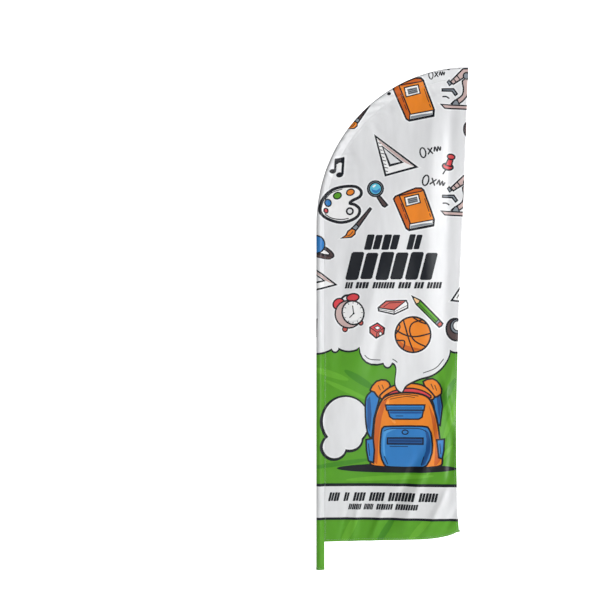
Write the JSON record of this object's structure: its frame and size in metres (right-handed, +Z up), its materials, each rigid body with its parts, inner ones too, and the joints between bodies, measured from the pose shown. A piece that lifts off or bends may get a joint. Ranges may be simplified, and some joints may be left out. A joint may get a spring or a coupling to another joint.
{
  "type": "feather flag with pole",
  "caption": "Tall feather flag: printed sail sewn to a sleeve over a plug-together pole whose tip bends into a quarter ellipse, on a swivelling foot that fits over a base spindle.",
  "frame": {"origin": "on the pole's axis at the underside of the foot bush, where the pole stands on its base", "axes": "+Z up the pole, +X from the pole towards the sail's free edge, -Y out of the printed front"},
  "size_m": [0.7606, 0.0874, 2.5125],
  "materials": {
    "anodised_aluminium": "clear anodised, drawn tube",
    "spring_steel": "bright stamped",
    "black_acetal": "fine moulded",
    "white_fibreglass": "pultruded, with lengthwise glass streaks",
    "black_rubber": "matt moulded",
    "white_printed_polyester": "knitted flag polyester, dye printed through",
    "green_printed_polyester": "knitted flag polyester, dye printed through",
    "black_webbing": "woven nylon and hook-and-loop tape"
  },
  "bodies": {
    "foot_bush": {"peg_bush": "black_acetal", "bush_clip": "spring_steel"},
    "lower_section": {"bush_housing": "black_acetal", "housing_rivet_front": "anodised_aluminium", "housing_rivet_back": "anodised_aluminium", "lower_tube": "anodised_aluminium"},
    "upper_section": {"upper_tube": "anodised_aluminium", "upper_stop_collar": "black_acetal"},
    "tip_section": {"tip_butt": "white_fibreglass", "tip_stop_collar": "black_acetal", "butt_ferrule": "black_acetal", "tip_rod": "white_fibreglass", "tip_cap": "black_rubber", "sail": "white_printed_polyester", "pole_sleeve": "white_printed_polyester", "arc_sleeve": "white_printed_polyester", "sleeve_tail": "green_printed_polyester", "tail_hem": "green_printed_polyester", "tip_pocket": "black_webbing", "cinch_strap": "black_webbing", "strap_tab": "black_webbing", "luff_seam": "white_printed_polyester", "arc_seam": "white_printed_polyester", "foot_hem": "green_printed_polyester", "fly_hem": "white_printed_polyester"}
  },
  "joints": [
    {"name": "foot_swivel", "type": "hinge", "parent": "foot_bush", "child": "lower_section", "pos_m": [0, 0, 0], "axis": [0, 0, 1], "continuous": true},
    {"name": "upper_plug", "type": "slide", "parent": "lower_section", "child": "upper_section", "axis": [0, 0, 1], "range_m": [0, 0.12]},
    {"name": "tip_plug", "type": "slide", "parent": "upper_section", "child": "tip_section", "axis": [0, 0, 1], "range_m": [0, 0.12]}
  ]
}
